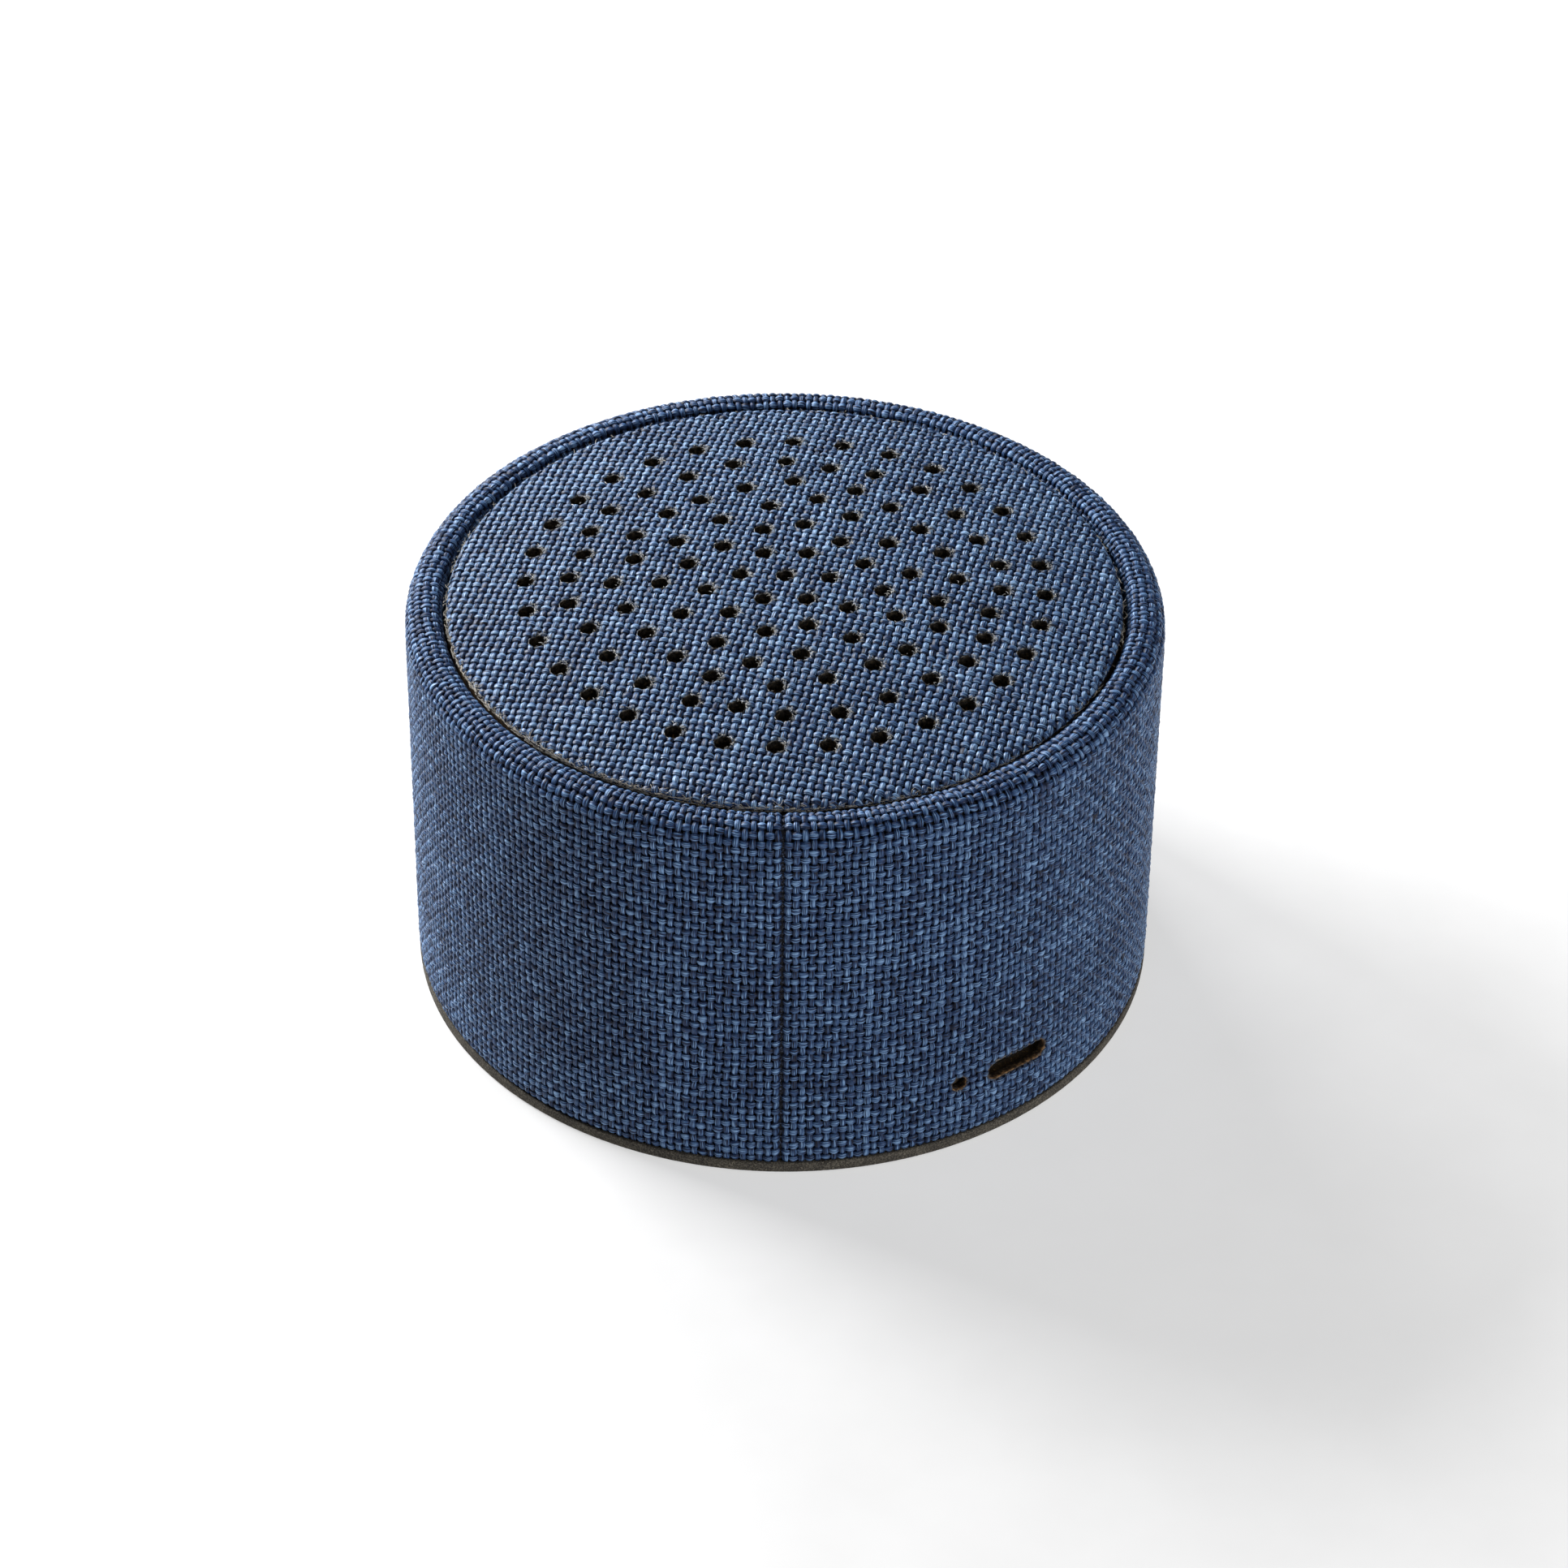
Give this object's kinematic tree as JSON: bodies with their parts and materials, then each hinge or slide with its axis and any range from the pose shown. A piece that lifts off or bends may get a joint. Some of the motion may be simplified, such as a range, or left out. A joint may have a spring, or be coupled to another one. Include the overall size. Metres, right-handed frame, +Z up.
{
  "type": "portable bluetooth speaker",
  "caption": "Short round portable speaker: woven fabric over a board ring with a rolled rim, domed perforated lid, side charging slot, foot pad with controls in its window.",
  "frame": {"origin": "centre of the foot pad's underside, on the axis of the round body", "axes": "+Z up along the body's axis, towards the perforated lid; -Y towards the cover's seam"},
  "size_m": [0.084, 0.084, 0.0509],
  "materials": {
    "side_weave": "plain-woven melange blue yarn, matt",
    "top_weave": "plain-woven melange blue yarn, matt",
    "scrim_cloth": "fine black acoustic cloth",
    "fibreboard": "raw fibreboard, laser-browned at its cut edges",
    "bonding_tape": "double-sided tape",
    "foot_foam": "fine-grained matt foam rubber, dark warm grey",
    "base_plastic": "moulded, finely sparked",
    "screw_steel": "zinc-plated",
    "switch_plastic": "moulded",
    "knob_plastic": "moulded, ribbed",
    "key_plastic": "moulded, satin",
    "plunger_plastic": "moulded",
    "board_laminate": "green solder mask over glass laminate",
    "chip_plastic": "moulded",
    "socket_steel": "tin-plated",
    "insulator": "moulded",
    "lamp_resin": "diffused resin",
    "pipe_acrylic": "clear acrylic",
    "can_steel": "tin-plated",
    "can_sleeve": "sleeved can",
    "header_nylon": "natural nylon",
    "foam_tape": "foam tape",
    "cell_pouch": "laminated foil pouch",
    "red_sheath": "insulation",
    "black_sheath": "insulation",
    "baffle_board": "fibreboard",
    "basket_steel": "black-coated pressed steel",
    "gasket_foam": "closed-cell foam",
    "plate_steel": "zinc-plated",
    "ferrite": "ground ferrite",
    "former_foil": "foil",
    "coil_copper": "enamelled copper",
    "cone_paper": "pressed paper pulp",
    "surround_rubber": "moulded",
    "spider_cloth": "impregnated cotton",
    "strip_phenolic": "phenolic board",
    "tag_brass": "tinned brass",
    "tinsel_copper": "braided"
  },
  "bodies": {
    "housing": {"side_fabric": "side_weave", "top_fabric": "top_weave", "lid_board": "fibreboard", "dust_scrim": "scrim_cloth", "lid_tape": "bonding_tape", "body_ring": "fibreboard", "foot_pad": "foot_foam", "base_plate": "base_plastic", "base_screws": "screw_steel", "power_switch_housing": "switch_plastic", "tact_switch_housing": "switch_plastic", "circuit_board": "board_laminate", "board_screws": "screw_steel", "usb_socket_shell": "socket_steel", "usb_socket_tongue": "insulator", "led_lamp": "lamp_resin", "light_pipe": "pipe_acrylic", "radio_module": "board_laminate", "radio_shield": "can_steel", "amplifier_chip": "chip_plastic", "charger_chip": "chip_plastic", "filter_capacitors": "can_sleeve", "battery_header": "header_nylon", "battery_plug": "header_nylon", "speaker_header": "header_nylon", "speaker_plug": "header_nylon", "battery_tape": "foam_tape", "battery_cell": "cell_pouch", "battery_guard_board": "board_laminate", "battery_lead_red": "red_sheath", "battery_lead_black": "black_sheath", "driver_baffle": "baffle_board", "driver_basket": "basket_steel", "driver_screws": "screw_steel", "driver_gasket": "gasket_foam", "front_plate": "plate_steel", "ring_magnet": "ferrite", "magnet_yoke": "plate_steel", "driver_surround": "surround_rubber", "driver_spider": "spider_cloth", "terminal_strip": "strip_phenolic", "terminal_tags": "tag_brass", "tinsel_leads": "tinsel_copper", "speaker_lead_red": "red_sheath", "speaker_lead_black": "black_sheath"},
    "cone_assembly": {"coil_former": "former_foil", "coil_winding": "coil_copper", "speaker_cone": "cone_paper", "dust_cap": "cone_paper"},
    "power_knob": {"power_switch_knob": "knob_plastic"},
    "button": {"button_cap": "key_plastic", "tact_switch_plunger": "plunger_plastic"}
  },
  "joints": [
    {"name": "cone_travel", "type": "slide", "parent": "housing", "child": "cone_assembly", "axis": [0, 0, 1], "range_m": [-0.001, 0.001], "stiffness_N_per_m": 1500, "deforming": ["driver_surround", "driver_spider", "tinsel_leads"]},
    {"name": "power_switch_slide", "type": "slide", "parent": "housing", "child": "power_knob", "axis": [1, 0, 0], "range_m": [0, 0.002]},
    {"name": "button_press", "type": "slide", "parent": "housing", "child": "button", "axis": [0, 0, 1], "range_m": [0, 0.00025], "stiffness_N_per_m": 3000}
  ]
}
